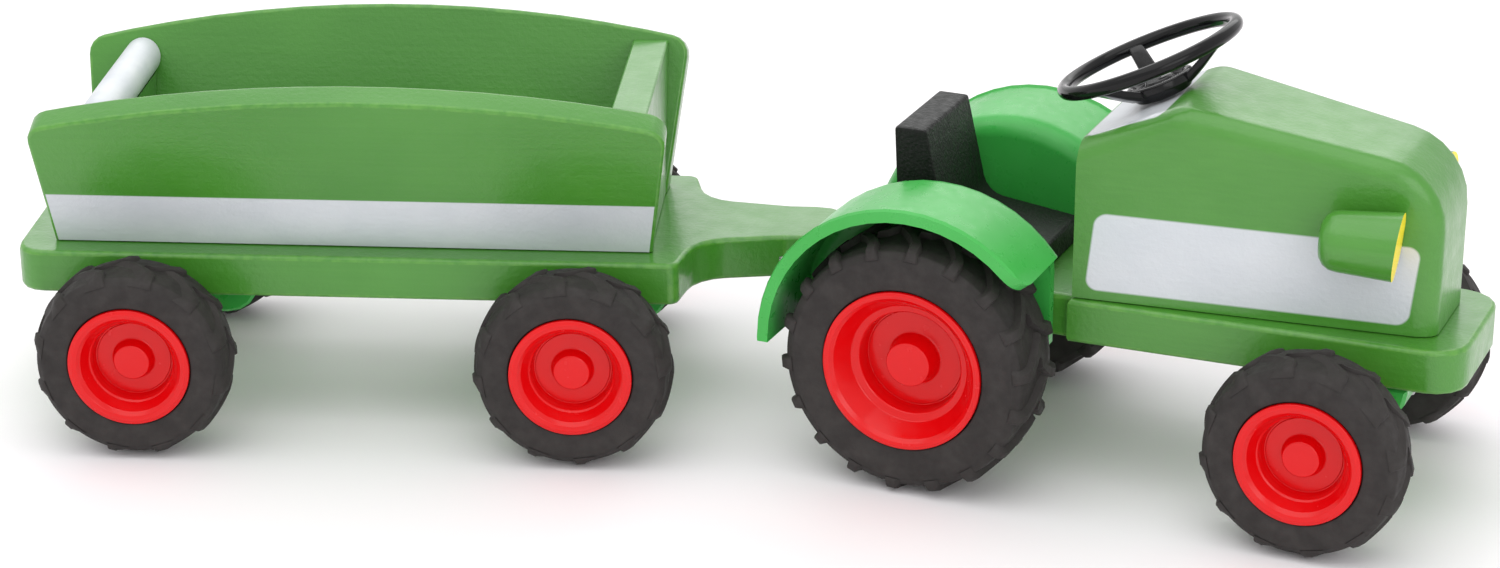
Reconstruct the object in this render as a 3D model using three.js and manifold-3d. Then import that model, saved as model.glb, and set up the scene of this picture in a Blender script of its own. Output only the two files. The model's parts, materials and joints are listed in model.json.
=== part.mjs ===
// Wooden toy tractor with a yoked farm trailer, built as separate pieces.
// Millimetres, +Z up, +X is the tractor's forward direction, +Y its left side.
// The hitch pin stands at the origin of the working frame; the whole toy is moved at the
// end so that the origin lies under the middle of its bounding box, on the floor.

import * as THREE from 'three';
import { mergeVertices } from 'three/addons/utils/BufferGeometryUtils.js';
import Module from 'manifold-3d';

const wasm = await Module();
wasm.setup();

// ---------------------------------------------------------------- driving dimensions
const GAP = 0.3;                     // glue or running gap between neighbouring pieces
const BOARD_TOP = 45.3;              // upper face of both floor boards
const BOARD_THICKNESS = 11;
const BOARD_BOTTOM = BOARD_TOP - BOARD_THICKNESS;
const EDGE = 1.2;                    // worn rounding of the wooden edges

const SMALL_WHEEL = { radius: 24.5, axleHeight: 23.5, width: 17, lip: 15, disc: 9.2, dish: 6.75, boss: 4.4,
  bossBase: 5, bossTop: 3.6 };
const BIG_WHEEL = { radius: 32.1, axleHeight: 31.1, width: 23.5, lip: 20, disc: 12, dish: 9.95, boss: 5.5,
  bossBase: 6.3, bossTop: 4.75 };
const AXLE_RADIUS = 2;

const REAR_AXLE_X = 44;
const FRONT_AXLE_X = 140.2;
const REAR_LIP_Y = 50.1;             // outer face of the rear rims, from the centre line
const FRONT_LIP_Y = 47.65;

const CHASSIS = { rear: 12.8, step: 76.4, front: 170.7, rearHalf: 21.6, stepHalf: 24.2,
  frontHalf: 20.9, corner: 9 };
const HITCH = { half: 7, lapTop: 39.6, pinRadius: 2.5, pinTop: 43.4 };

const HOOD = { rear: 77, front: 162.5, rearHalf: 22.8, frontHalf: 13.9, dashLow: 84.3, ridgeX: 100,
  ridgeZ: 95 };
const DASH_TILT = Math.atan2(HOOD.ridgeZ - HOOD.dashLow, HOOD.ridgeX - HOOD.rear);
const LAMP = { length: 18, front: 154.5, y: 22.6, z: 70.2, rearRadius: 7.2, frontRadius: 8.1, lean: 0.09 };
const STEERING = { x: 91.2, rimRadius: 21.7, tube: 1.75, rimHeight: 10.5, hubRadius: 8.3,
  hubHeight: 4.2, spokes: 3 };
const SEAT_HALF = 15;

const FENDER = { x: REAR_AXLE_X + 0.5, z: 34, radius: 37.4, skin: 2.6, wallIn: 22.2, outer: 50.2, round: 5,
  frontEnd: THREE.MathUtils.degToRad(52.9), bottom: 33.1 };

const HITCH_ANGLE = THREE.MathUtils.degToRad(20.1);   // how far the trailer stands turned at rest
const TRAILER = { rear: -196.3, front: -31.5, half: 32.1, rearCorner: 7, yokeHalf: 11.2, yokeRound: 11 };
const TRAILER_AXLES = { front: -55.8, rear: -164 };
const TRAILER_LIP_Y = 53.3;
const SIDE = { foot: 24.7, flare: THREE.MathUtils.degToRad(19.5), thickness: 7.5, crownX: -106,
  crownRadius: 350,
  height: 45.2, rearTop: -189.9, frontTop: -33, rearFoot: -187, frontFoot: -38.8 };
const FRONT_PANEL = { back: -47.6, front: -38.5, top: 82.9 };
const REAR_RAIL = { x: -175.3, z: 76.5, radius: 4.75 };
const REAR_PANEL = { back: -179, front: -171.6, top: 73.5 };

// ---------------------------------------------------------------- finishes
const finish = (color, roughness, metalness = 0) =>
  new THREE.MeshStandardMaterial({ color, roughness, metalness });
const GREEN_PAINT = finish('#4f8f3c', 0.45);
const GREY_PAINT = finish('#ccd2d6', 0.5);
const BLACK_PAINT = finish('#222222', 0.5);
const GREEN_PLASTIC = finish('#35a24a', 0.3);
const RED_PLASTIC = finish('#d8181a', 0.35);
const BLACK_PLASTIC = finish('#141414', 0.2);
const RUBBER = finish('#3b3737', 0.85);
const STEEL = finish('#9a9c9e', 0.35, 1);
const RAW_WOOD = finish('#c9a877', 0.7);

// ---------------------------------------------------------------- solid helpers
function solid(geometry) {
  const bare = geometry.clone();
  bare.deleteAttribute('normal');
  bare.deleteAttribute('uv');
  const merged = mergeVertices(bare, 1e-4);
  return new wasm.Manifold(new wasm.Mesh({
    numProp: 3,
    vertProperties: new Float32Array(merged.attributes.position.array),
    triVerts: new Uint32Array(merged.index.array),
  }));
}

function geometryOf(manifold) {
  const mesh = manifold.getMesh();
  const geometry = new THREE.BufferGeometry();
  geometry.setAttribute('position', new THREE.BufferAttribute(new Float32Array(mesh.vertProperties), 3));
  geometry.setIndex(new THREE.BufferAttribute(new Uint32Array(mesh.triVerts), 1));
  return geometry;
}

const cut = (body, ...tools) => geometryOf(tools.reduce((left, tool) => left.subtract(solid(tool)), solid(body)));
const join = (...bodies) => geometryOf(bodies.map(solid).reduce((sum, next) => sum.add(next)));
const common = (first, second) => geometryOf(solid(first).intersect(solid(second)));

// A box given by its low and high corners.
function block(low, high) {
  const size = high.map((value, axis) => value - low[axis]);
  const centre = high.map((value, axis) => (value + low[axis]) / 2);
  return new THREE.BoxGeometry(...size).translate(...centre);
}

// A cylinder between two points.
function rod(from, to, radius, segments = 20) {
  const start = new THREE.Vector3(...from);
  const run = new THREE.Vector3(...to).sub(start);
  const turn = new THREE.Quaternion().setFromUnitVectors(new THREE.Vector3(0, 1, 0), run.clone().normalize());
  return new THREE.CylinderGeometry(radius, radius, run.length(), segments)
    .applyQuaternion(turn).translate(...start.addScaledVector(run, 0.5));
}

// A closed outline of points; a point [x, y, r] has its corner rounded with radius r.
function outline(points, steps = 4) {
  const shape = new THREE.Shape();
  const corners = points.map(([x, y, r = 0]) => ({ at: new THREE.Vector2(x, y), r }));
  const placed = [];
  corners.forEach(({ at, r }, index) => {
    const before = corners.at(index - 1).at.clone().sub(at).normalize();
    const after = corners[(index + 1) % corners.length].at.clone().sub(at).normalize();
    if (r === 0) {
      placed.push(at);
      return;
    }
    const half = Math.acos(THREE.MathUtils.clamp(before.dot(after), -1, 1)) / 2;
    const centre = at.clone().addScaledVector(before.clone().add(after).normalize(), r / Math.sin(half));
    const start = at.clone().addScaledVector(before, r / Math.tan(half)).sub(centre);
    const sweep = Math.PI - 2 * half;
    const side = Math.sign(after.cross(before)) || 1;
    for (let step = 0; step <= steps; step += 1) {
      placed.push(start.clone().rotateAround(new THREE.Vector2(), side * sweep * step / steps).add(centre));
    }
  });
  shape.setFromPoints(placed);
  return shape;
}

// A plate of the outline between two heights, with rounded edges.
function plate(shape, low, high, edge = EDGE, rounds = 2) {
  return new THREE.ExtrudeGeometry(shape, {
    depth: high - low - 2 * edge,
    bevelEnabled: edge > 0,
    bevelSize: edge,
    bevelThickness: edge,
    bevelOffset: -edge,
    bevelSegments: rounds,
    curveSegments: 16,
  }).translate(0, 0, low + edge);
}

// The same plate standing up: the outline is drawn in x and z, and runs along y from low to high.
const standingPlate = (shape, low, high, edge, rounds) =>
  plate(shape, -high, -low, edge, rounds).rotateX(Math.PI / 2);

// ---------------------------------------------------------------- the scene graph
const toy = new THREE.Group();
const tractor = new THREE.Group();
const trailer = new THREE.Group();
trailer.rotation.z = HITCH_ANGLE;
toy.add(tractor, trailer);

function piece(parent, name, geometry, material) {
  const mesh = new THREE.Mesh(geometry, material);
  mesh.name = name;
  parent.add(mesh);
  return mesh;
}

// ---------------------------------------------------------------- wheels and axles
// Profiles run from the rim's outer lip plane (depth 0) towards the vehicle.
function rimProfile(wheel) {
  const { lip, disc, dish, boss, bossBase, bossTop, width } = wheel;
  const back = width - 0.6;
  return [
    [0, bossTop], [boss, bossTop], [bossBase, dish], [disc, dish], [lip - 1.5, 0.9], [lip - 0.6, 0],
    [lip, 1.3], [lip - 2.3, 2.3], [lip - 2.3, back], [lip - 4, back],
    [disc + 0.6, dish + 2.6], [bossBase + 0.6, dish + 2.6], [bossBase + 0.6, back],
    [AXLE_RADIUS + GAP, back], [AXLE_RADIUS + GAP, bossTop + 2.4], [0, bossTop + 2.4],
  ];
}

function tyreProfile(wheel) {
  const { radius, width, lip } = wheel;
  const shoulder = 0.13 * width;
  const side = lip + 0.62 * (radius - lip);
  return [
    [lip + GAP, 0.5], [side, 0.3], [radius - 0.8, shoulder], [radius, 1.8 * shoulder],
    [radius, width - 1.8 * shoulder], [radius - 0.8, width - shoulder], [side, width - 0.3],
    [lip - 2, width - 1], [lip - 2, 2.7], [lip + GAP, 1.9],
  ];
}

// Turns a profile about the wheel's axis, with depth pointing towards the centre line.
function turned(profile, segments, lipY, side) {
  const points = profile.map(([r, depth]) => new THREE.Vector2(r, depth));
  const first = points[0];
  if (first.x > 0) points.push(first.clone());
  const flip = side < 0 ? 1 : -1;
  const geometry = new THREE.LatheGeometry(points, segments).translate(0, -lipY, 0);
  return flip > 0 ? geometry : geometry.rotateX(Math.PI);
}

const TYRE_SEGMENTS = 24;
const RIM_SEGMENTS = 20;

function axleSet(parent, name, x, wheel, lipY) {
  const height = wheel.axleHeight;
  for (const [label, side] of [['left', 1], ['right', -1]]) {
    const rim = turned(rimProfile(wheel), RIM_SEGMENTS, lipY, side).translate(x, 0, height);
    const tyre = turned(tyreProfile(wheel), TYRE_SEGMENTS, lipY, side).translate(x, 0, height);
    piece(parent, `${name}_rim_${label}`, rim, RED_PLASTIC);
    piece(parent, `${name}_tyre_${label}`, tyre, RUBBER);
  }
  const reach = lipY - wheel.bossTop - 2.4 - GAP;
  piece(parent, `${name}_axle`, rod([x, -reach, height], [x, reach, height], AXLE_RADIUS, 12), STEEL);
}

// ---------------------------------------------------------------- axle brackets
const BRACKET = { half: 20, flange: 9, block: 7.5, round: 8, screwAway: 13 };
const BRACKET_FOOT = BOARD_BOTTOM - GAP - BRACKET.flange;
const SCREW = { radius: 1.3, head: 2.6, headHeight: 1.3, facets: 10 };
const SCREW_ENDS = [['rear', -1], ['front', 1]];

// A moulded flange under a board; the block in its middle holds one axle.
function bracket(parent, name, axleX, axleZ, behind, ahead) {
  const { half, block: blockHalf, round } = BRACKET;
  const top = BOARD_BOTTOM - GAP;
  const bottom = axleZ - 6.8;
  const shape = outline([
    [axleX - behind, top], [axleX - behind, BRACKET_FOOT, round], [axleX - blockHalf, BRACKET_FOOT],
    [axleX - blockHalf, bottom], [axleX + blockHalf, bottom], [axleX + blockHalf, BRACKET_FOOT],
    [axleX + ahead, BRACKET_FOOT, round], [axleX + ahead, top],
  ]);
  const bore = rod([axleX, -half - 1, axleZ], [axleX, half + 1, axleZ], AXLE_RADIUS + GAP, 12);
  const holes = SCREW_ENDS.map(([, end]) => screwHole(axleX + end * BRACKET.screwAway));
  piece(parent, name, cut(standingPlate(shape, -half, half, 0.8, 1), bore, ...holes), GREEN_PLASTIC);
  for (const [label, end] of SCREW_ENDS) {
    piece(parent, `${name}_screw_${label}`, bracketScrew(axleX + end * BRACKET.screwAway), STEEL);
  }
}

// The screws go up through the flange into the board.
const upright = (x, low, high, radius) => rod([x, 0, low], [x, 0, high], radius, SCREW.facets);

const screwHole = (x) => join(
  upright(x, BRACKET_FOOT - 1, BOARD_BOTTOM + 1, SCREW.radius + GAP),
  upright(x, BRACKET_FOOT - 1, BRACKET_FOOT + SCREW.headHeight + 0.4, SCREW.head + GAP),
);

const bracketScrew = (x) => join(
  upright(x, BRACKET_FOOT + 0.1, BRACKET_FOOT + SCREW.headHeight, SCREW.head),
  upright(x, BRACKET_FOOT + SCREW.headHeight - 0.2, BOARD_BOTTOM + 5, SCREW.radius),
);

const boardScrewHoles = (axleX) => SCREW_ENDS.map(([, end]) =>
  upright(axleX + end * BRACKET.screwAway, BOARD_BOTTOM - 1, BOARD_BOTTOM + 5 + GAP, SCREW.radius + GAP));

// ---------------------------------------------------------------- tractor
const FENDER_SCREWS = [{ label: 'rear', x: 30, z: 39.8 }, { label: 'front', x: 58, z: 39.8 }];

function chassisBoard() {
  const { rear, step, front, rearHalf, stepHalf, frontHalf, corner } = CHASSIS;
  const shape = outline([
    [rear, -HITCH.half], [rear, -rearHalf], [step, -rearHalf], [step, -stepHalf], [front, -frontHalf, corner],
    [front, frontHalf, corner], [step, stepHalf], [step, rearHalf], [rear, rearHalf], [rear, HITCH.half],
    [-HITCH.half, HITCH.half, HITCH.half - 0.5], [-HITCH.half, -HITCH.half, HITCH.half - 0.5],
  ]);
  const lap = block([-30, -30, HITCH.lapTop], [rear, 30, BOARD_TOP + 5]);
  const pinHole = rod([0, 0, BOARD_BOTTOM + 1], [0, 0, BOARD_TOP], HITCH.pinRadius + GAP);
  const sideHoles = FENDER_SCREWS.flatMap(({ x, z }) => [-1, 1].map((side) =>
    rod([x, side * (rearHalf + 5), z], [x, side * (rearHalf - 6), z], SCREW.radius + GAP, SCREW.facets)));
  return cut(plate(shape, BOARD_BOTTOM, BOARD_TOP), lap, pinHole, ...sideHoles,
    ...boardScrewHoles(REAR_AXLE_X), ...boardScrewHoles(FRONT_AXLE_X));
}

// Half width of the bonnet at x: it narrows towards the nose.
function hoodHalf(x) {
  const along = (x - HOOD.rear) / (HOOD.front - HOOD.rear);
  return THREE.MathUtils.lerp(HOOD.rearHalf, HOOD.frontHalf, along);
}

const HOOD_ROUND = 5.5;

function hoodBlock() {
  const { rear, front, dashLow, ridgeX, ridgeZ } = HOOD;
  const overrun = 12;
  const drop = overrun * Math.tan(DASH_TILT);
  const shape = outline([
    [rear - overrun, BOARD_TOP - overrun], [front, BOARD_TOP - overrun], [front, 85.4, 17],
    [ridgeX, ridgeZ, 9], [rear - overrun, dashLow - drop],
  ], 6);
  const body = standingPlate(shape, -HOOD.rearHalf, HOOD.rearHalf, HOOD_ROUND, 5);
  const position = body.attributes.position;
  for (let index = 0; index < position.count; index += 1) {
    position.setY(index, position.getY(index) * hoodHalf(position.getX(index)) / HOOD.rearHalf);
  }
  const below = block([rear - 40, -40, 0], [front + 40, 40, BOARD_TOP + GAP]);
  const behind = block([rear - 40, -60, 0], [rear, 60, 130]);
  return cut(body, below, behind, steeringPin(GAP));
}

// Places a shape that is built on the sloping dashboard: its own z axis leaves the dashboard squarely.
function onDash(geometry) {
  const z = HOOD.dashLow + (STEERING.x - HOOD.rear) * Math.tan(DASH_TILT);
  return geometry.rotateY(-DASH_TILT).translate(STEERING.x, 0, z);
}

const PIN_RADIUS = 2;

function steeringPin(clearance = 0) {
  return onDash(rod([0, 0, -9 - clearance], [0, 0, 3], PIN_RADIUS + clearance, 12));
}

function steeringWheel() {
  const { rimRadius, tube, rimHeight, hubRadius, hubHeight, spokes } = STEERING;
  const hubFoot = 0.5;
  const hub = new THREE.LatheGeometry([
    [0, hubFoot], [hubRadius - 1.6, hubFoot], [hubRadius, hubFoot + 2.2], [hubRadius, hubHeight - 0.8],
    [hubRadius - 0.8, hubHeight], [hubRadius - 2.2, hubHeight], [hubRadius - 2.8, hubHeight + 0.7],
    [0, hubHeight + 0.7],
  ].map(([r, z]) => new THREE.Vector2(r, z)), 16).rotateX(Math.PI / 2);
  const rim = new THREE.TorusGeometry(rimRadius, tube, 8, 32).translate(0, 0, rimHeight);
  const arms = Array.from({ length: spokes }, (_, index) => {
    const side = outline([
      [hubRadius - 3.4, 1.6], [hubRadius + 1.5, 2], [rimRadius + 0.4, rimHeight - 1.2],
      [rimRadius - 1, rimHeight + 0.7], [hubRadius, hubHeight], [hubRadius - 3.4, hubHeight],
    ]);
    return standingPlate(side, -1.9, 1.9, 0.5, 1).rotateZ(2 * Math.PI * index / spokes);
  });
  const bore = rod([0, 0, -1], [0, 0, 3 + GAP], PIN_RADIUS + GAP, 12);
  return onDash(cut(join(hub, rim, ...arms), bore));
}

function seat() {
  const foot = BOARD_TOP + GAP;
  const shape = outline([
    [29.4, foot], [65.6, foot], [65.4, 51.6, 1], [41.6, 54.5, 6], [35.9, 79.3, 1], [27.8, 79.3, 1],
  ]);
  return standingPlate(shape, -SEAT_HALF, SEAT_HALF, 0.8, 2);
}

// A headlight lies along the tapering side of the bonnet, with a flat where the two meet;
// its front face is cut a little out of square.
function headlight(side) {
  const { length, front, y, z, rearRadius, frontRadius } = LAMP;
  const dome = 4.5;
  const profile = [[0, 0]];
  for (let step = 1; step <= 4; step += 1) {
    const angle = step * Math.PI / 8;
    profile.push([rearRadius - dome + dome * Math.sin(angle), dome - dome * Math.cos(angle)]);
  }
  profile.push([frontRadius, length], [0, length]);
  const taper = Math.atan2(HOOD.rearHalf - HOOD.frontHalf, HOOD.front - HOOD.rear);
  const peg = new THREE.LatheGeometry(profile.map(([r, x]) => new THREE.Vector2(r, x)), 24)
    .rotateZ(-Math.PI / 2).translate(-length, 0, 0);
  const position = peg.attributes.position;
  for (let index = 0; index < position.count; index += 1) {
    if (position.getX(index) > -0.1) position.setX(index, position.getZ(index) * LAMP.lean);
  }
  peg.rotateZ(-side * taper).translate(front, side * y, z);
  const wall = block([-60, -30, -30], [60, GAP, 30]);
  if (side < 0) wall.rotateZ(Math.PI);
  wall.rotateZ(-side * taper).translate(front, side * hoodHalf(front), z);
  return cut(peg, wall);
}

// A mudguard: a turned pot with a rounded inner corner, cut to the arch that covers the tyre.
/** Cuts the mudguard's outer front corner round, as seen square on to the sheet there. */
function fenderCorner(side) {
  const { x, z, radius, skin, outer, frontEnd } = FENDER;
  const round = 6;
  const edge = outer + 0.1;
  const curve = Array.from({ length: 7 }, (_, step) => {
    const angle = step * Math.PI / 12;
    return [round * (Math.cos(angle) - 1), side * (edge - round * (1 - Math.sin(angle)))];
  });
  const shape = outline([[2, side * (edge - round)], ...curve, [-round, side * (edge + 2)], [2, side * (edge + 2)]]);
  const cutter = plate(shape, radius - skin - 4, radius + 4, 0);
  return cutter.rotateY(frontEnd).translate(x, 0, z);
}

function fender(side) {
  const { x, z, radius, skin, wallIn, outer, round, frontEnd, bottom } = FENDER;
  const inner = radius - skin;
  const arc = (centreR, centreY, r, from, to, steps) => Array.from({ length: steps + 1 }, (_, step) => {
    const angle = THREE.MathUtils.lerp(from, to, step / steps);
    return [centreR + r * Math.sin(angle), centreY - r * Math.cos(angle)];
  });
  const profile = [
    [0, wallIn], ...arc(radius - round, wallIn + round, round, 0, Math.PI / 2, 4),
    [radius, outer - 1.4], [radius + 0.5, outer - 0.9], [radius + 0.1, outer], [inner, outer],
    ...arc(radius - round, wallIn + round, round - skin, Math.PI / 2, 0, 3), [0, wallIn + skin],
  ];
  const pot = new THREE.LatheGeometry(profile.map(([r, y]) => new THREE.Vector2(r, y)), 48).translate(x, 0, -z);
  const upright = pot.rotateX(side > 0 ? 0 : Math.PI);
  if (side < 0) upright.translate(0, 0, -2 * z);
  upright.translate(0, 0, 2 * z);
  const high = z + radius + 5;
  const behind = x - radius - 5;
  const atFrontEnd = (r) => [x + r * Math.sin(frontEnd), z + r * Math.cos(frontEnd)];
  const wallFront = atFrontEnd(inner);
  const beyond = atFrontEnd(radius + 8);
  const window = standingPlate(outline([
    [behind, bottom], [wallFront[0], bottom], wallFront, beyond, [beyond[0], high], [behind, high],
  ]), -60, 60, 0);
  const axleNotch = rod([REAR_AXLE_X, -60, BIG_WHEEL.axleHeight], [REAR_AXLE_X, 60, BIG_WHEEL.axleHeight], 4.5, 20);
  const holes = FENDER_SCREWS.map((screw) =>
    rod([screw.x, side * (wallIn - 1), screw.z], [screw.x, side * (wallIn + 4), screw.z], SCREW.radius + GAP, SCREW.facets));
  return cut(common(upright, window), fenderCorner(side), axleNotch, ...holes);
}

function fenderScrew({ x, z }, side) {
  const face = FENDER.wallIn + FENDER.skin + 0.15;
  return join(
    rod([x, side * face, z], [x, side * (face + 1.2), z], SCREW.head, SCREW.facets),
    rod([x, side * (face + 0.4), z], [x, side * (CHASSIS.rearHalf - 5.4), z], SCREW.radius, SCREW.facets),
  );
}

function buildTractor() {
  piece(tractor, 'chassis_board', chassisBoard(), GREEN_PAINT);
  piece(tractor, 'hood', hoodBlock(), GREEN_PAINT);
  piece(tractor, 'seat', seat(), BLACK_PAINT);
  piece(tractor, 'steering_pin', steeringPin(), STEEL);
  piece(tractor, 'steering_wheel', steeringWheel(), BLACK_PLASTIC);
  for (const [label, side] of [['left', 1], ['right', -1]]) {
    piece(tractor, `headlight_${label}`, headlight(side), GREEN_PAINT);
    piece(tractor, `fender_${label}`, fender(side), GREEN_PLASTIC);
    FENDER_SCREWS.forEach((screw) =>
      piece(tractor, `fender_${label}_screw_${screw.label}`, fenderScrew(screw, side), STEEL));
  }
  const pinFoot = BOARD_BOTTOM + 1 + GAP;
  piece(tractor, 'hitch_pin', rod([0, 0, pinFoot], [0, 0, HITCH.pinTop], HITCH.pinRadius), RAW_WOOD);

  bracket(tractor, 'rear_axle_bracket', REAR_AXLE_X, BIG_WHEEL.axleHeight, 18, 18);
  bracket(tractor, 'front_axle_bracket', FRONT_AXLE_X, SMALL_WHEEL.axleHeight, 18, 18);
  axleSet(tractor, 'rear', REAR_AXLE_X, BIG_WHEEL, REAR_LIP_Y);
  axleSet(tractor, 'front', FRONT_AXLE_X, SMALL_WHEEL, FRONT_LIP_Y);
}

// ---------------------------------------------------------------- trailer
const LAP_REACH = 7.6;               // how far from the pin the drawbar is halved

function trailerBoard() {
  const { rear, front, half, rearCorner, yokeHalf, yokeRound } = TRAILER;
  const shape = outline([
    [rear, -half, rearCorner], [front, -half, 3], [front + 3.5, -yokeHalf - 4, yokeRound], [-6, -yokeHalf, 8],
    [yokeHalf, -yokeHalf, yokeHalf - 0.5], [yokeHalf, yokeHalf, yokeHalf - 0.5],
    [-6, yokeHalf, 8], [front + 3.5, yokeHalf + 4, yokeRound], [front, half, 3], [rear, half, rearCorner],
  ]);
  const lap = block([-LAP_REACH, -30, 0], [40, 30, HITCH.lapTop + GAP]);
  const pinHole = rod([0, 0, BOARD_BOTTOM], [0, 0, HITCH.pinTop + GAP], HITCH.pinRadius + GAP);
  return cut(plate(shape, BOARD_BOTTOM, BOARD_TOP), lap, pinHole,
    ...boardScrewHoles(TRAILER_AXLES.front), ...boardScrewHoles(TRAILER_AXLES.rear));
}

// Height of a side board's crowned upper edge, measured up its face.
function crown(x) {
  const { crownX, crownRadius, height } = SIDE;
  return height - crownRadius + Math.sqrt(crownRadius ** 2 - (x - crownX) ** 2);
}

// The flat board is drawn lying down, then stood up and leaned outwards.
function sideBoard(side) {
  const { foot, flare, thickness, rearTop, frontTop, rearFoot, frontFoot } = SIDE;
  const below = 6;
  const steps = 14;
  const top = Array.from({ length: steps + 1 }, (_, step) => {
    const x = THREE.MathUtils.lerp(frontTop, rearTop, step / steps);
    return [x, crown(x), step === 0 || step === steps ? 5 : 0];
  });
  const shape = outline([[rearFoot, -below], [rearFoot - 0.6, 2, 1], ...top.reverse(), [frontFoot, -below]], 4);
  const board = plate(shape, -thickness, 0, 0.9, 2).rotateX(Math.PI / 2);
  if (side > 0) board.translate(0, -thickness, 0);
  board.rotateX(-side * flare).translate(0, side * foot, BOARD_TOP);
  const under = block([-300, -80, 0], [100, 80, BOARD_TOP + GAP]);
  return cut(board, under);
}

// Everything between the inner faces of the two leaning side boards.
function betweenSides(gap) {
  const { foot, flare, thickness } = SIDE;
  const halfAt = (z) => foot - thickness / Math.cos(flare) + (z - BOARD_TOP) * Math.tan(flare) - gap;
  const low = BOARD_TOP + GAP;
  const high = 100;
  const shape = outline([
    [-halfAt(low), low], [halfAt(low), low], [halfAt(high), high], [-halfAt(high), high],
  ]);
  return plate(shape, -300, 0, 0).rotateX(Math.PI / 2).rotateZ(Math.PI / 2);
}

function frontPanel() {
  const { back, front, top } = FRONT_PANEL;
  return common(block([back, -60, BOARD_TOP], [front, 60, top]), betweenSides(GAP));
}

function rearPanel() {
  const { back, front, top } = REAR_PANEL;
  const cradle = rod([REAR_RAIL.x, -60, REAR_RAIL.z], [REAR_RAIL.x, 60, REAR_RAIL.z], REAR_RAIL.radius + GAP, 32);
  const board = common(block([back, -60, BOARD_TOP], [front, 60, top]), betweenSides(GAP));
  return cut(board, cradle);
}

function rearRail() {
  const { x, z, radius } = REAR_RAIL;
  return common(rod([x, -60, z], [x, 60, z], radius, 32), betweenSides(GAP));
}

function buildTrailer() {
  piece(trailer, 'trailer_board', trailerBoard(), GREEN_PAINT);
  piece(trailer, 'side_board_left', sideBoard(1), GREEN_PAINT);
  piece(trailer, 'side_board_right', sideBoard(-1), GREEN_PAINT);
  piece(trailer, 'front_panel', frontPanel(), GREEN_PAINT);
  piece(trailer, 'rear_panel', rearPanel(), GREEN_PAINT);
  piece(trailer, 'rear_rail', rearRail(), GREY_PAINT);
  bracket(trailer, 'trailer_front_bracket', TRAILER_AXLES.front, SMALL_WHEEL.axleHeight, 21, 21);
  bracket(trailer, 'trailer_rear_bracket', TRAILER_AXLES.rear, SMALL_WHEEL.axleHeight, 21, 25.8);
  axleSet(trailer, 'trailer_front', TRAILER_AXLES.front, SMALL_WHEEL, TRAILER_LIP_Y);
  axleSet(trailer, 'trailer_rear', TRAILER_AXLES.rear, SMALL_WHEEL, TRAILER_LIP_Y);
}

buildTractor();
buildTrailer();

// The origin goes under the middle of the whole toy.
toy.updateMatrixWorld(true);
const box = new THREE.Box3().setFromObject(toy, true);
toy.position.set(-(box.min.x + box.max.x) / 2, -(box.min.y + box.max.y) / 2, -box.min.z);

export default toy;
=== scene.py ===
import json
import math
import random

import bmesh
import bpy
from mathutils import Matrix, Vector


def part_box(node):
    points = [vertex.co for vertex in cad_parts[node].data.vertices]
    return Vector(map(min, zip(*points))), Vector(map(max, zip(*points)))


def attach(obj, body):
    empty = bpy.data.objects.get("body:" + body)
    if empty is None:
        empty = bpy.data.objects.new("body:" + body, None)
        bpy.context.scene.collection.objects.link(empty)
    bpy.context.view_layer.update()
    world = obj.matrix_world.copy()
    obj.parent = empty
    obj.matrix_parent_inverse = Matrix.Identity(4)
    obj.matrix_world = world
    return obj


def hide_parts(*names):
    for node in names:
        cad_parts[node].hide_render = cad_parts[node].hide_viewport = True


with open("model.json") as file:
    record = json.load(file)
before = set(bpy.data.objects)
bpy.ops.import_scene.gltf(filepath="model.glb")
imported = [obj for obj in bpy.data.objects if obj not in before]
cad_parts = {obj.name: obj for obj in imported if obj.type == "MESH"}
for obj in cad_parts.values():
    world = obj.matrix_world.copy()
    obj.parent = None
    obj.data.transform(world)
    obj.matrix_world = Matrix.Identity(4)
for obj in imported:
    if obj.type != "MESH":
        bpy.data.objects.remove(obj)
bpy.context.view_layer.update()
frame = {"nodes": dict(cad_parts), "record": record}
MM = 0.001

# ---------------------------------------------------------------- what the CAD record says
RECORD = frame["record"]
SLOT_OF = {part["node"]: part["material_slot"] for part in RECORD["subparts"]}
BODY_OF = {node: body for body, nodes in RECORD["behaviour"]["bodies"].items() for node in nodes}


def middle(node):
    low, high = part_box(node)
    return (Vector(low) + Vector(high)) / 2


PIN = middle("hitch_pin")
DATUM_HEIGHT = 0.001                       # heights are measured from one millimetre above the floor
HITCH = Vector((PIN.x, PIN.y, DATUM_HEIGHT))  # the toy is described from the point under its hitch pin
HITCH_ANGLE = math.radians(20.1)           # the trailer stands turned by this about the pin


def spot(x, y, z):
    """A point given in millimetres from the point under the hitch pin, along the tractor."""
    return HITCH + Vector((x, y, z)) * MM


# ---------------------------------------------------------------- driving dimensions, in millimetres
SMALL_WHEEL = dict(radius=24.5, width=17, lip=15, lip_face=2.1, disc=9.2, dish=6.75, boss=4.4,
                   boss_base=5, boss_top=3.6, shoulder=0.26,
                   lugs=12, lug_width=2.4, lug_height=0.9, ramp=2.6, sweep=17)
BIG_WHEEL = dict(radius=32.1, width=23.5, lip=20, lip_face=1.5, disc=12, dish=9.95, boss=5.5,
                 boss_base=6.3, boss_top=4.75, shoulder=0.14,
                 lugs=18, lug_width=2.6, lug_height=1.6, ramp=0.5, sweep=11)
SIDES = (("left", 1), ("right", -1))
AXLE_RADIUS = 2
WHEEL_SETS = {
    "rear": (BIG_WHEEL, 50.1, 0),
    "front": (SMALL_WHEEL, 47.65, 0),
    "trailer_front": (SMALL_WHEEL, 53.3, HITCH_ANGLE),
    "trailer_rear": (SMALL_WHEEL, 53.3, HITCH_ANGLE),
}
BOARD_TOP = 45.3
SIDE_FLARE = math.radians(19.5)
STRIPE_HEIGHT = 15
HOOD_PANEL = dict(low=(81, 48), high=(157, 67.5), corner=3, lean=0.1)
DASH = dict(rear=(77, 84.3), ridge=(100, 95), half_width=18)
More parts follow.
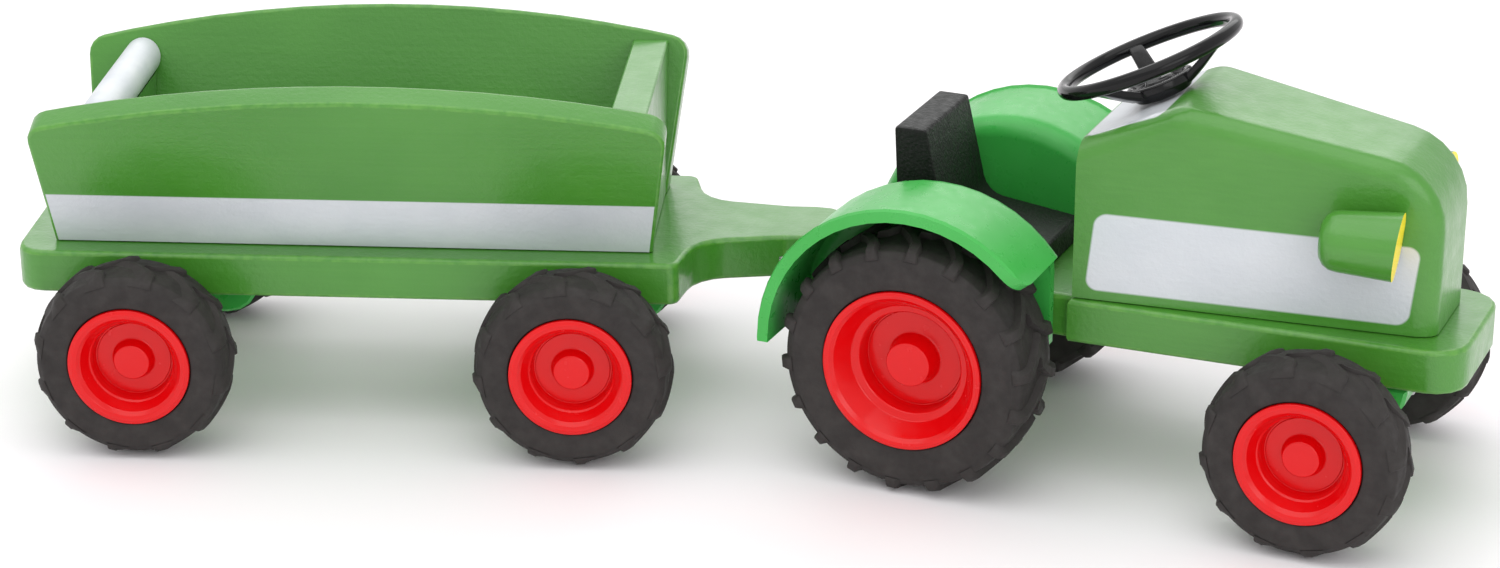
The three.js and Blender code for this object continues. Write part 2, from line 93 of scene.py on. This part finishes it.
DASH_TILT = math.atan2(DASH["ridge"][1] - DASH["rear"][1], DASH["ridge"][0] - DASH["rear"][0])
STEERING = dict(x=91.2, rim=21.7, tube=1.75, height=10.35, hub=8.3, hub_top=4.7, spokes=3)
STEERING_BORE = dict(radius=2.3, top=3.3)  # the hub's hole for its pin


# ---------------------------------------------------------------- colours
def linear(red, green, blue):
    """A display colour from 0 to 255 as the linear colour that the shaders take."""
    def channel(value):
        value /= 255
        return value / 12.92 if value <= 0.04045 else ((value + 0.055) / 1.055) ** 2.4
    return (channel(red), channel(green), channel(blue), 1)


GREEN = linear(64, 132, 38)
GREEN_LIGHT = linear(72, 140, 45)
# Painted highlight: the lighter yellow-green drawn on the rounded edges of the green wood.
GREEN_PAINTED_HIGHLIGHT = linear(140, 198, 84)
GREY = linear(200, 205, 211)
YELLOW = linear(255, 226, 10)
BLACK = linear(13, 15, 13)
PLASTIC_GREEN = linear(54, 166, 66)
RED = linear(214, 3, 9)
RUBBER = linear(46, 43, 42)
STEEL = linear(150, 151, 153)
BEECH = linear(214, 178, 128)


# ---------------------------------------------------------------- procedural materials
class Surface:
    """A material under construction: short calls that each add one or two shader nodes."""

    def __init__(self, name, roughness, metallic=0):
        self.material = bpy.data.materials.new(name)
        self.material.use_nodes = True
        self.tree = self.material.node_tree
        self.shader = self.tree.nodes["Principled BSDF"]
        self.shader.inputs["Metallic"].default_value = metallic
        self.shader.inputs["Roughness"].default_value = roughness
        self.place = self.add("ShaderNodeTexCoord").outputs["Object"]

    def add(self, kind, **settings):
        node = self.tree.nodes.new(kind)
        for key, value in settings.items():
            setattr(node, key, value)
        return node

    def feed(self, socket, value):
        if isinstance(value, bpy.types.NodeSocket):
            self.tree.links.new(value, socket)
        else:
            socket.default_value = value

    def math(self, operation, first, second=0.0, clamp=False):
        node = self.add("ShaderNodeMath", operation=operation, use_clamp=clamp)
        self.feed(node.inputs[0], first)
        self.feed(node.inputs[1], second)
        return node.outputs[0]

    def noise(self, size, detail=2, stretch=(1, 1, 1), turn=0.0):
        """Noise with lumps about size millimetres across, stretched along axes turned about Z."""
        turned_back = self.add("ShaderNodeVectorRotate", rotation_type="Z_AXIS")
        turned_back.inputs["Angle"].default_value = -turn
        self.feed(turned_back.inputs["Vector"], self.place)
        mapping = self.add("ShaderNodeMapping")
        mapping.inputs["Scale"].default_value = [1 / (size * MM * part) for part in stretch]
        self.feed(mapping.inputs["Vector"], turned_back.outputs[0])
        noise = self.add("ShaderNodeTexNoise")
        noise.inputs["Scale"].default_value = 1
        noise.inputs["Detail"].default_value = detail
        self.feed(noise.inputs["Vector"], mapping.outputs[0])
        return noise.outputs["Fac"]

    def spread(self, value, low, high, to_low=0.0, to_high=1.0):
        node = self.add("ShaderNodeMapRange", clamp=True)
        for socket, number in zip(node.inputs[1:5], (low, high, to_low, to_high)):
            socket.default_value = number
        self.feed(node.inputs[0], value)
        return node.outputs[0]

    def mix(self, factor, first, second):
        node = self.add("ShaderNodeMix", data_type="RGBA")
        self.feed(node.inputs[0], factor)
        self.feed(node.inputs[6], first)
        self.feed(node.inputs[7], second)
        return node.outputs[2]

    def axes(self):
        """The three coordinates, in millimetres from the point under the hitch pin."""
        shift = self.add("ShaderNodeVectorMath", operation="SUBTRACT")
        self.feed(shift.inputs[0], self.place)
        shift.inputs[1].default_value = HITCH
        scale = self.add("ShaderNodeVectorMath", operation="SCALE")
        self.feed(scale.inputs[0], shift.outputs[0])
        scale.inputs["Scale"].default_value = 1 / MM
        split = self.add("ShaderNodeSeparateXYZ")
        self.feed(split.inputs[0], scale.outputs[0])
        return split.outputs

    def edges(self):
        return self.add("ShaderNodeAttribute", attribute_name="edge").outputs["Fac"]

    def colour(self, value):
        self.feed(self.shader.inputs["Base Color"], value)

    def rough(self, value):
        self.feed(self.shader.inputs["Roughness"], value)

    def bump(self, height, depth):
        """Raises the surface by the height map, depth millimetres from its 0 to its 1."""
        node = self.add("ShaderNodeBump")
        node.inputs["Strength"].default_value = 1
        node.inputs["Distance"].default_value = depth * MM
        self.feed(node.inputs["Height"], height)
        self.feed(self.shader.inputs["Normal"], node.outputs[0])

    def constant(self, **values):
        for name, value in values.items():
            self.shader.inputs[name.replace("_", " ").title().replace("Ior", "IOR")].default_value = value


# The last value sets how strongly rounded edges take the painted highlight colour.
PAINT = dict(roughness=0.36, relief=0.175, grain=0.3, painted_edge_highlight=0.16)


def lacquered(name, grain_turn):
    """Green paint on wood: orange peel, a faint grain along the board, and a painted highlight that draws
    the rounded edges lighter yellow-green.
    """
    roughness, grain = PAINT["roughness"], PAINT["grain"]
    surface = Surface(name, roughness)
    streaks = surface.noise(0.9, 3, (40, 1, 1), grain_turn)
    clouds = surface.noise(34, 2)
    lumps = surface.noise(1.3, 3)
    fine = surface.noise(0.45, 2)
    tone = surface.math("ADD", surface.math("MULTIPLY", streaks, grain),
                        surface.math("MULTIPLY", clouds, 1 - grain))
    body = surface.mix(surface.spread(tone, 0.36, 0.64), GREEN, GREEN_LIGHT)
    # Painted highlight: the narrow rounded edge faces, in speckled patches, are drawn lighter yellow-green.
    patches = surface.spread(surface.noise(2.4, 4), 0.34, 0.6)
    lightening = surface.math("MULTIPLY", surface.edges(), patches, clamp=True)
    surface.painted = surface.mix(surface.math("MULTIPLY", lightening, PAINT["painted_edge_highlight"]), body, GREEN_PAINTED_HIGHLIGHT)
    surface.colour(surface.painted)
    surface.rough(surface.spread(surface.noise(6, 4), 0.3, 0.7, roughness - 0.07, roughness + 0.09))
    relief = surface.math("ADD", surface.math("MULTIPLY", lumps, 0.7), surface.math("MULTIPLY", fine, 0.18))
    surface.bump(surface.math("ADD", relief, surface.math("MULTIPLY", streaks, 0.22)), PAINT["relief"])
    surface.constant(coat_weight=0.4, coat_roughness=0.18)
    return surface


def box_mask(surface, across, up, low, high, corner, soft=0.25):
    """1 inside a rectangle with round corners, 0 outside, in the plane of two coordinates."""
    outside = []
    for value, start, end in ((across, low[0], high[0]), (up, low[1], high[1])):
        centred = surface.math("ABSOLUTE", surface.math("SUBTRACT", value, (start + end) / 2))
        beyond = surface.math("SUBTRACT", centred, (end - start) / 2 - corner)
        outside.append(surface.math("POWER", surface.math("MAXIMUM", beyond, 0), 2))
    distance = surface.math("SQRT", surface.math("ADD", *outside))
    return surface.spread(surface.math("SUBTRACT", distance, corner), -soft, soft, 1, 0)


def wood_paint(name, turn=0.0):
    return lacquered(name, turn).material


def grey_tone(surface):
    return surface.mix(surface.spread(surface.noise(14, 4), 0.3, 0.7), GREY, linear(209, 213, 218))


def hood_paint():
    surface = lacquered("hood_paint", 0)
    x, y, z = surface.axes()
    middle_height = (HOOD_PANEL["low"][1] + HOOD_PANEL["high"][1]) / 2
    lean = surface.math("MULTIPLY", surface.math("SUBTRACT", z, middle_height), HOOD_PANEL["lean"])
    along = surface.math("SUBTRACT", x, lean)
    panel = box_mask(surface, along, z, HOOD_PANEL["low"], HOOD_PANEL["high"], HOOD_PANEL["corner"])
    half = DASH["half_width"]
    plate = box_mask(surface, x, y, (DASH["rear"][0] + 0.4, -half), (DASH["ridge"][0] - 3.5, half), 2.5)
    high = surface.math("GREATER_THAN", z, DASH["rear"][1] - 0.6)
    grey = surface.math("MAXIMUM", panel, surface.math("MULTIPLY", plate, high))
    surface.colour(surface.mix(grey, surface.painted, grey_tone(surface)))
    return surface.material


def stripe_paint():
    """The outer face of a trailer side: green above, a pale band along the foot."""
    surface = lacquered("stripe_paint", HITCH_ANGLE)
    z = surface.axes()[2]
    line = BOARD_TOP + STRIPE_HEIGHT * math.cos(SIDE_FLARE)
    band = surface.spread(z, line - 0.15, line + 0.15, 1, 0)
    surface.colour(surface.mix(band, surface.painted, grey_tone(surface)))
    return surface.material


def plain_paint(name, tone, lighter, roughness):
    surface = Surface(name, roughness)
    surface.colour(surface.mix(surface.spread(surface.noise(9, 4), 0.3, 0.7), tone, lighter))
    surface.rough(surface.spread(surface.noise(4, 4), 0.3, 0.7, roughness - 0.08, roughness + 0.1))
    fine = surface.math("MULTIPLY", surface.noise(0.4, 2), 0.3)
    surface.bump(surface.math("ADD", surface.noise(1.2, 3), fine), 0.07)
    return surface.material


def seat_paint():
    surface = Surface("seat_paint", 0.5)
    speck = surface.spread(surface.noise(0.5, 2), 0.55, 0.68)
    surface.colour(surface.mix(surface.math("MULTIPLY", speck, 0.5), BLACK, linear(44, 47, 44)))
    surface.rough(surface.spread(surface.noise(2, 4), 0.3, 0.7, 0.36, 0.55))
    surface.bump(surface.noise(0.8, 3), 0.22)
    surface.constant(ior=1.34)
    return surface.material


def moulded(name, tone, lighter, roughness, peel=0.02):
    surface = Surface(name, roughness)
    surface.colour(surface.mix(surface.spread(surface.noise(22, 3), 0.35, 0.65), tone, lighter))
    surface.rough(surface.spread(surface.noise(3, 5), 0.3, 0.7, roughness - 0.06, roughness + 0.08))
    fine = surface.math("MULTIPLY", surface.noise(0.5, 3), 0.15)
    surface.bump(surface.math("ADD", surface.noise(7, 2), fine), peel)
    return surface


def red_plastic():
    surface = moulded("red_plastic", RED, linear(218, 7, 12), 0.2, 0.01)
    surface.constant(ior=1.42)
    return surface.material


def black_plastic():
    surface = moulded("black_plastic", linear(12, 12, 13), linear(20, 20, 21), 0.14, 0.012)
    surface.constant(ior=1.33)
    return surface.material


def rubber():
    surface = Surface("tyre_rubber", 0.72)
    dust = surface.spread(surface.noise(5, 5), 0.42, 0.75)
    # The lug faces are drawn a little lighter than the tyre body, and patches of dust lighten the rubber
    # too.
    lighter_lugs = surface.math("MULTIPLY", surface.edges(), 0.12)
    lightening = surface.math("MAXIMUM", lighter_lugs, surface.math("MULTIPLY", dust, 0.3))
    surface.colour(surface.mix(lightening, RUBBER, linear(76, 72, 70)))
    surface.rough(surface.spread(surface.noise(2, 4), 0.3, 0.7, 0.6, 0.82))
    surface.bump(surface.math("ADD", surface.noise(0.35, 3), surface.noise(4, 2)), 0.05)
    surface.constant(ior=1.36)
    return surface.material


def steel():
    surface = Surface("drawn_steel", 0.3, metallic=1)
    surface.colour(surface.mix(surface.noise(3, 4), STEEL, linear(178, 179, 180)))
    surface.rough(surface.spread(surface.noise(0.3, 3, (1, 20, 1)), 0.3, 0.7, 0.24, 0.42))
    surface.bump(surface.noise(0.3, 2, (1, 20, 1)), 0.01)
    return surface.material


def bare_wood():
    surface = Surface("beech", 0.6)
    surface.colour(surface.mix(surface.noise(0.8, 4, (1, 1, 14)), linear(190, 150, 104), BEECH))
    surface.bump(surface.noise(0.5, 3, (1, 1, 14)), 0.05)
    return surface.material


TRACTOR_GREEN = wood_paint("tractor_green")
TRAILER_GREEN = wood_paint("trailer_green", HITCH_ANGLE)
CROSS_GREEN = wood_paint("cross_grain_green", HITCH_ANGLE + math.pi / 2)
HOOD_PAINT = hood_paint()
STRIPE_PAINT = stripe_paint()
GREY_PAINT = plain_paint("grey_paint", GREY, linear(216, 220, 222), 0.4)
YELLOW_PAINT = plain_paint("yellow_paint", YELLOW, linear(255, 236, 60), 0.4)
SEAT_PAINT = seat_paint()
GREEN_PLASTIC = moulded("green_plastic", PLASTIC_GREEN, linear(64, 174, 76), 0.3, 0.008).material
BLACK_PLASTIC = black_plastic()
RED_PLASTIC = red_plastic()
TYRE_RUBBER = rubber()
DRAWN_STEEL = steel()
BARE_WOOD = bare_wood()


# ---------------------------------------------------------------- making pieces
def finish_piece(name, mesh, materials, node):
    """Adds a mesh to the scene as the piece that stands for a CAD node."""
    piece = bpy.data.objects.new(name, mesh)
    bpy.context.collection.objects.link(piece)
    for material in materials:
        mesh.materials.append(material)
    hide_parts(node)
    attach(piece, BODY_OF[node])
    return piece


def shade(bm, sharp):
    """Smooth faces, with the edges that turn by more than sharp degrees kept crisp."""
    for face in bm.faces:
        face.smooth = True
    for edge in bm.edges:
        edge.smooth = len(edge.link_faces) == 2 and edge.calc_face_angle(0) < math.radians(sharp)


def mark_edges(bm, narrow):
    """Faces narrower than so many millimetres are the rounding of an edge."""
    layer = bm.faces.layers.float.new("edge")
    for face in bm.faces:
        width = face.calc_area() / max(edge.calc_length() for edge in face.edges)
        face[layer] = 1.0 if width < narrow * MM else 0.0


def refined(node, materials, sharp=50, soften=0.0, narrow=1.3, choose=None):
    """A CAD node as a finished piece: the same shape, smoothly shaded, its last crisp edges broken."""
    mesh = frame["nodes"][node].data.copy()
    mesh.materials.clear()
    bm = bmesh.new()
    bm.from_mesh(mesh)
    bmesh.ops.remove_doubles(bm, verts=bm.verts, dist=3e-6)
    bmesh.ops.dissolve_limit(bm, angle_limit=math.radians(0.8), verts=bm.verts, edges=bm.edges)
    bm.normal_update()
    shade(bm, sharp)
    mark_edges(bm, narrow)
    for face in bm.faces:
        face.material_index = choose(face) if choose else 0
    bm.to_mesh(mesh)
    bm.free()
    piece = finish_piece(f"{node}_finished", mesh, materials, node)
    if soften:
        bevel = piece.modifiers.new("broken_edges", "BEVEL")
        bevel.width = soften * MM
        bevel.segments = 2
        bevel.limit_method = "ANGLE"
        bevel.angle_limit = math.radians(sharp)
        bevel.harden_normals = False
    normals = piece.modifiers.new("even_shading", "WEIGHTED_NORMAL")
    normals.keep_sharp = True
    return piece


def rounded(points, steps=5):
    """A closed outline from (x, y) or (x, y, corner radius) points."""
    outline = []
    for index, point in enumerate(points):
        corner = Vector(point[:2])
        radius = point[2] if len(point) > 2 else 0
        if not radius:
            outline.append(corner)
            continue
        back = (Vector(points[index - 1][:2]) - corner).normalized()
        ahead = (Vector(points[(index + 1) % len(points)][:2]) - corner).normalized()
        half = math.acos(max(-1, min(1, back.dot(ahead)))) / 2
        centre = corner + (back + ahead).normalized() * (radius / math.sin(half))
        start = corner + back * (radius / math.tan(half)) - centre
        turn = (math.pi - 2 * half) * (1 if ahead.cross(back) > 0 else -1)
        for step in range(steps + 1):
            outline.append(centre + Matrix.Rotation(turn * step / steps, 2) @ start)
    return outline


def turned(bm, profile, segments):
    """A closed (radius, depth) profile swept about the Y axis; depth runs along +Y."""
    rings = []
    for segment in range(segments):
        angle = 2 * math.pi * segment / segments
        across, up = math.cos(angle) * MM, math.sin(angle) * MM
        rings.append([bm.verts.new((r * across, d * MM, r * up)) for r, d in profile])
    for index, ring in enumerate(rings):
        following = rings[(index + 1) % segments]
        for row in range(len(profile)):
            other = (row + 1) % len(profile)
            bm.faces.new((ring[row], ring[other], following[other], following[row]))
    bmesh.ops.remove_doubles(bm, verts=bm.verts, dist=1e-6)
    bmesh.ops.dissolve_degenerate(bm, edges=bm.edges, dist=1e-7)


def closed_mesh(bm, name, sharp):
    bmesh.ops.recalc_face_normals(bm, faces=bm.faces)
    shade(bm, sharp)
    mesh = bpy.data.meshes.new(name)
    bm.to_mesh(mesh)
    bm.free()
    return mesh


# ---------------------------------------------------------------- wheels
def rim_outline(wheel):
    """A rim from its middle: boss, dished disc, fine groove, stepped cone, lip and hidden back."""
    lip, disc, dish, back = wheel["lip"], wheel["disc"], wheel["dish"], wheel["width"] - 0.6
    boss, base, top, face = wheel["boss"], wheel["boss_base"], wheel["boss_top"], wheel["lip_face"]
    wall = lip - face - 0.9
    ledge = dish * 0.62
    half = disc + (wall - disc) * 0.5
    return rounded([
        (0, top), (boss, top, 0.5), (base, dish, 0.7), (disc - 0.15, dish, 0.1),
        (disc - 0.05, dish + 0.3, 0.1), (disc + 0.3, dish + 0.3, 0.1), (disc + 0.6, dish - 0.6, 0.3),
        (disc + 0.9, ledge, 0.8), (half, ledge - 0.4, 0.8), (wall, 1.1, 0.7),
        (lip - face, 0.25, 0.3), (lip - face / 2, 0, 0.8), (lip, 0.25, 0.3),
        (lip, 1.4), (lip - 2.3, 2.4), (lip - 2.3, back), (lip - 4, back), (disc + 1, dish + 2.6),
        (base + 0.6, dish + 2.6), (base + 0.6, back), (AXLE_RADIUS + 0.3, back),
        (AXLE_RADIUS + 0.3, top + 2.4), (0, top + 2.4),
    ], 4)


def tyre_outline(wheel):
    """The tyre's body between its lugs, from the rim's lip over the tread and back behind the rim."""
    radius, width, lip = wheel["radius"], wheel["width"], wheel["lip"]
    base = radius - wheel["lug_height"]
    wall = radius * 0.87
    edge = width * wheel["shoulder"]
    return rounded([
        (lip + 0.25, 0.8, 0.4), (wall, edge * 0.12, 1.5), (base - 0.6, edge * 0.5, 1.2),
        (base, edge * 1.4, 1.5), (base, width - edge * 1.4, 1.5), (base - 0.6, width - edge * 0.5, 1.2),
        (wall, width - edge * 0.12, 1.5),
        (lip - 1.6, width - 0.6, 0.6), (lip - 1.8, 3.2, 0.5), (lip + 0.25, 2.2, 0.3),
    ], 4)


def lug_route(wheel):
    """Where one lug runs: (radius, depth, height, angle) from the middle of the tread over its shoulder."""
    radius, width, tall = wheel["radius"], wheel["width"], wheel["lug_height"]
    base = radius - tall
    sweep = math.radians(wheel["sweep"])
    middle_depth, shoulder = width * 0.54, width * wheel["shoulder"]
    route = []
    for step in range(9):
        part = step / 8
        depth = middle_depth + (shoulder - middle_depth) * part
        crown = 0.35 * (1 - math.sin(math.pi * depth / width))
        route.append((base - crown, depth, tall, sweep * (1 - part) ** 1.35))
    route.append((base - 0.8, shoulder * 0.48, tall * 0.9, 0))
    route.append((base - 1.7, shoulder * 0.22, tall * 0.55, 0))
    route.append((radius * 0.88, shoulder * 0.12, tall * 0.12, 0))
    return route


def lug_directions(route):
    """The outward direction (radial, depth) at each stop of a route."""
    directions = []
    for index in range(len(route)):
        before, after = route[max(index - 1, 0)], route[min(index + 1, len(route) - 1)]
        along = Vector((after[0] - before[0], after[1] - before[1])).normalized()
        directions.append(Vector((-along.y, along.x)))
    return directions


def add_lug(bm, wheel, start, mirrored):
    """One raised bar; a mirrored one runs from the middle of the tread to the inner shoulder."""
    route = lug_route(wheel)
    half, ramp, width = wheel["lug_width"] / 2, wheel["ramp"], wheel["width"]
    section = [(-half - 0.35, -0.25), (-half, 0.72), (-half + 0.3, 1.0), (half - 0.3, 1.0), (half, 0.72),
               (half + 0.3 + ramp, -0.25)]
    rows = []
    for (radius, depth, tall, lead), outward in zip(route, lug_directions(route)):
        row = []
        for across, lift in section:
            r = radius + outward.x * tall * lift
            d = depth + outward.y * tall * lift
            angle = start + lead + across / radius
            d = width - d if mirrored else d
            row.append(bm.verts.new((r * math.cos(angle) * MM, d * MM, r * math.sin(angle) * MM)))
        rows.append(row)
    for near, far in zip(rows, rows[1:]):
        for index in range(len(section) - 1):
            bm.faces.new((near[index], near[index + 1], far[index + 1], far[index]))
    bm.faces.new(rows[0])
    bm.faces.new(rows[-1][::-1])


def tyre_mesh(wheel, name):
    bm = bmesh.new()
    turned(bm, tyre_outline(wheel), 120)
    bmesh.ops.recalc_face_normals(bm, faces=bm.faces)
    layer = bm.faces.layers.float.new("edge")
    plain = len(bm.faces)
    pitch = 2 * math.pi / wheel["lugs"]
    for index in range(wheel["lugs"]):
        add_lug(bm, wheel, index * pitch, False)
        add_lug(bm, wheel, (index + 0.5) * pitch, True)
    bm.faces.ensure_lookup_table()
    bmesh.ops.recalc_face_normals(bm, faces=bm.faces[plain:])
    for face in bm.faces[plain:]:
        face[layer] = 1.0
    shade(bm, 42)
    mesh = bpy.data.meshes.new(name)
    bm.to_mesh(mesh)
    bm.free()
    return mesh


def rim_mesh(wheel, name):
    bm = bmesh.new()
    turned(bm, rim_outline(wheel), 96)
    return closed_mesh(bm, name, 35)


def place_wheel_part(mesh, wheel_set, side):
    """Turns a wheel part, drawn with its outer face towards -Y, to its side and puts it on its axle."""
    lip_y, yaw = WHEEL_SETS[wheel_set][1:]
    spin = random.uniform(0, 2 * math.pi)
    turn = Matrix.Rotation(yaw, 4, "Z")
    flip = Matrix.Scale(-1, 4, (0, 1, 0)) if side > 0 else Matrix.Identity(4)
    offset = Matrix.Translation((0, side * lip_y * MM, 0))
    mesh.transform(turn @ offset @ flip @ Matrix.Rotation(spin, 4, "Y"))
    if side > 0:
        mesh.flip_normals()
    mesh.transform(Matrix.Translation(middle(f"{wheel_set}_axle")))


def build_wheels():
    for wheel_set, (wheel, _, _) in WHEEL_SETS.items():
        for label, side in SIDES:
            node = f"{wheel_set}_tyre_{label}"
            tyre = tyre_mesh(wheel, node)
            place_wheel_part(tyre, wheel_set, side)
            finish_piece(f"{node}_lugged", tyre, [TYRE_RUBBER], node)
            node = f"{wheel_set}_rim_{label}"
            rim = rim_mesh(wheel, node)
            place_wheel_part(rim, wheel_set, side)
            finish_piece(f"{node}_turned", rim, [RED_PLASTIC], node)


# ---------------------------------------------------------------- steering wheel
def add_ring(bm, radius, tube, height, segments=96, sides=16):
    """A torus about the Z axis."""
    rings = []
    for segment in range(segments):
        angle = 2 * math.pi * segment / segments
        ring = []
        for side in range(sides):
            around = 2 * math.pi * side / sides
            r = radius + tube * math.cos(around)
            z = height + tube * math.sin(around)
            ring.append(bm.verts.new((r * math.cos(angle) * MM, r * math.sin(angle) * MM, z * MM)))
        rings.append(ring)
    for index, ring in enumerate(rings):
        following = rings[(index + 1) % segments]
        for side in range(sides):
            other = (side + 1) % sides
            bm.faces.new((ring[side], following[side], following[other], ring[other]))


def add_spoke(bm, angle):
    """A flat arm that rises from the hub to the rim."""
    stops = [(3.5, 2.6, 4.8, 2.6), (8.4, 3.2, 4.7, 2.6), (12, 5.2, 4.3, 2.4), (17, 8.3, 3.9, 2.2),
             (21.7, 10.4, 3.7, 2.0)]
    turn = Matrix.Rotation(angle, 4, "Z")
    rows = []
    for reach, height, wide, thick in stops:
        corners = rounded([(-wide / 2, -thick / 2, 0.5), (wide / 2, -thick / 2, 0.5),
                           (wide / 2, thick / 2, 0.5), (-wide / 2, thick / 2, 0.5)], 3)
        section = [turn @ Vector((reach, y, height + z)) * MM for y, z in corners]
        rows.append([bm.verts.new(point) for point in section])
    for near, far in zip(rows, rows[1:]):
        count = len(near)
        for index in range(count):
            other = (index + 1) % count
            bm.faces.new((near[index], far[index], far[other], near[other]))
    bm.faces.new(rows[0])
    bm.faces.new(rows[-1][::-1])


def build_steering_wheel():
    bm = bmesh.new()
    hub, top = STEERING["hub"], STEERING["hub_top"]
    bore, bore_top = STEERING_BORE["radius"], STEERING_BORE["top"]
    foot = 0.6
    turned(bm, rounded([
        (0, bore_top), (bore, bore_top), (bore, foot), (hub - 1.6, foot, 0.8),
        (hub, 2.6, 0.8), (hub, top, 0.6), (hub - 1.5, top, 0.4),
        (hub - 2.2, top - 0.9, 0.4), (4, top - 0.9, 0.4), (3.4, top - 0.1, 0.3), (0, top - 0.1),
    ], 4), 64)
    bmesh.ops.rotate(bm, verts=bm.verts, cent=(0, 0, 0), matrix=Matrix.Rotation(math.pi / 2, 3, "X"))
    add_ring(bm, STEERING["rim"], STEERING["tube"], STEERING["height"])
    for index in range(STEERING["spokes"]):
        add_spoke(bm, 2 * math.pi * index / STEERING["spokes"])
    mesh = closed_mesh(bm, "steering_wheel", 50)
    rise = (STEERING["x"] - DASH["rear"][0]) * math.tan(DASH_TILT)
    mesh.transform(Matrix.Rotation(-DASH_TILT, 4, "Y"))
    mesh.transform(Matrix.Translation(spot(STEERING["x"], 0, DASH["rear"][1] + rise)))
    finish_piece("steering_wheel_moulded", mesh, [BLACK_PLASTIC], "steering_wheel")


# ---------------------------------------------------------------- boards and mouldings
def lamp_face(face):
    return 1 if face.normal.x > 0.9 else 0


def outer_face(side):
    """Picks the striped paint for the outer face of a side board."""
    lean = Vector((-math.sin(HITCH_ANGLE) * side, math.cos(HITCH_ANGLE) * side, 0)) * math.cos(SIDE_FLARE)
    outward = lean - Vector((0, 0, math.sin(SIDE_FLARE)))
    return lambda face: 1 if face.normal.dot(outward) > 0.999 else 0


def build_bodywork():
    refined("chassis_board", [TRACTOR_GREEN])
    refined("hood", [HOOD_PAINT], sharp=40, narrow=0)
    refined("seat", [SEAT_PAINT], sharp=40)
    refined("trailer_board", [TRAILER_GREEN])
    refined("front_panel", [CROSS_GREEN], soften=0.5)
    refined("rear_panel", [CROSS_GREEN], soften=0.5)
    refined("rear_rail", [GREY_PAINT], sharp=40, soften=0.3)
    for label, side in SIDES:
        refined(f"headlight_{label}", [TRACTOR_GREEN, YELLOW_PAINT], sharp=40, choose=lamp_face)
        refined(f"fender_{label}", [GREEN_PLASTIC], sharp=40, soften=0.8)
        refined(f"side_board_{label}", [TRAILER_GREEN, STRIPE_PAINT], choose=outer_face(side))
    for axle in ("rear_axle", "front_axle", "trailer_front", "trailer_rear"):
        refined(f"{axle}_bracket", [GREEN_PLASTIC], sharp=40)


def dress_hardware():
    """The small turned pieces keep their CAD shape and only get a better finish."""
    finishes = {"steel": DRAWN_STEEL, "bare_wood": BARE_WOOD}
    for node, slot in SLOT_OF.items():
        if slot in finishes:
            slots = frame["nodes"][node].material_slots
            for index in range(len(slots)):
                slots[index].material = finishes[slot]


# ---------------------------------------------------------------- studio
CAMERA = dict(place=(322.375, -759.137, 360.989), azimuth=24.1, elevation=21.98, roll=-0.24,
              lens=84, sensor=36)


def build_camera():
    azimuth, elevation = math.radians(CAMERA["azimuth"]), math.radians(CAMERA["elevation"])
    back = Vector((math.sin(azimuth) * math.cos(elevation), -math.cos(azimuth) * math.cos(elevation),
                   math.sin(elevation)))
    right = Vector((math.cos(azimuth), math.sin(azimuth), 0))
    up = back.cross(right)
    roll = math.radians(CAMERA["roll"])
    across = right * math.cos(roll) + up * math.sin(roll)
    upright = up * math.cos(roll) - right * math.sin(roll)
    data = bpy.data.cameras.new("camera")
    data.lens = CAMERA["lens"]
    data.sensor_width = CAMERA["sensor"]
    data.clip_start = 0.01
    camera = bpy.data.objects.new("camera", data)
    place = spot(*CAMERA["place"])
    camera.matrix_world = Matrix((
        (across.x, upright.x, back.x, place.x),
        (across.y, upright.y, back.y, place.y),
        (across.z, upright.z, back.z, place.z),
        (0, 0, 0, 1),
    ))
    bpy.context.collection.objects.link(camera)
    bpy.context.scene.camera = camera


def add_softbox(name, place, size, power):
    data = bpy.data.lights.new(name, "AREA")
    data.shape = "RECTANGLE"
    data.size, data.size_y = size
    data.energy = power
    lamp = bpy.data.objects.new(name, data)
    lamp.location = place
    aim = Vector((0, 0, 0.04)) - Vector(place)
    lamp.rotation_euler = aim.to_track_quat("-Z", "Y").to_euler()
    bpy.context.collection.objects.link(lamp)


def build_floor():
    mesh = bpy.data.meshes.new("floor")
    reach = 4
    mesh.from_pydata([(-reach, -reach, 0), (reach, -reach, 0), (reach, reach, 0), (-reach, reach, 0)], [],
                     [(0, 1, 2, 3)])
    surface = Surface("floor_paper", 0.7)
    surface.colour(surface.mix(surface.noise(400, 2), linear(246, 243, 245), linear(249, 246, 248)))
    surface.bump(surface.noise(0.8, 3), 0.02)
    mesh.materials.append(surface.material)
    floor = bpy.data.objects.new("floor", mesh)
    floor.location.z = -0.0002
    bpy.context.collection.objects.link(floor)


def build_studio():
    build_floor()
    world = bpy.context.scene.world or bpy.data.worlds.new("studio")
    bpy.context.scene.world = world
    world.use_nodes = True
    world.node_tree.nodes["Background"].inputs["Color"].default_value = (1, 1, 1, 1)
    world.node_tree.nodes["Background"].inputs["Strength"].default_value = 0.92
    add_softbox("back_softbox", (-0.5, 1.5, 1.1), (1.8, 1.2), 8)
    add_softbox("top_softbox", (-0.2, -0.4, 1.7), (2.2, 2.0), 14)
    add_softbox("front_fill", (1.2, -1.2, 0.8), (1.0, 0.9), 5)
    bpy.context.scene.view_settings.view_transform = "Standard"


random.seed(7)
build_camera()
build_studio()
build_wheels()
build_steering_wheel()
build_bodywork()
dress_hardware()
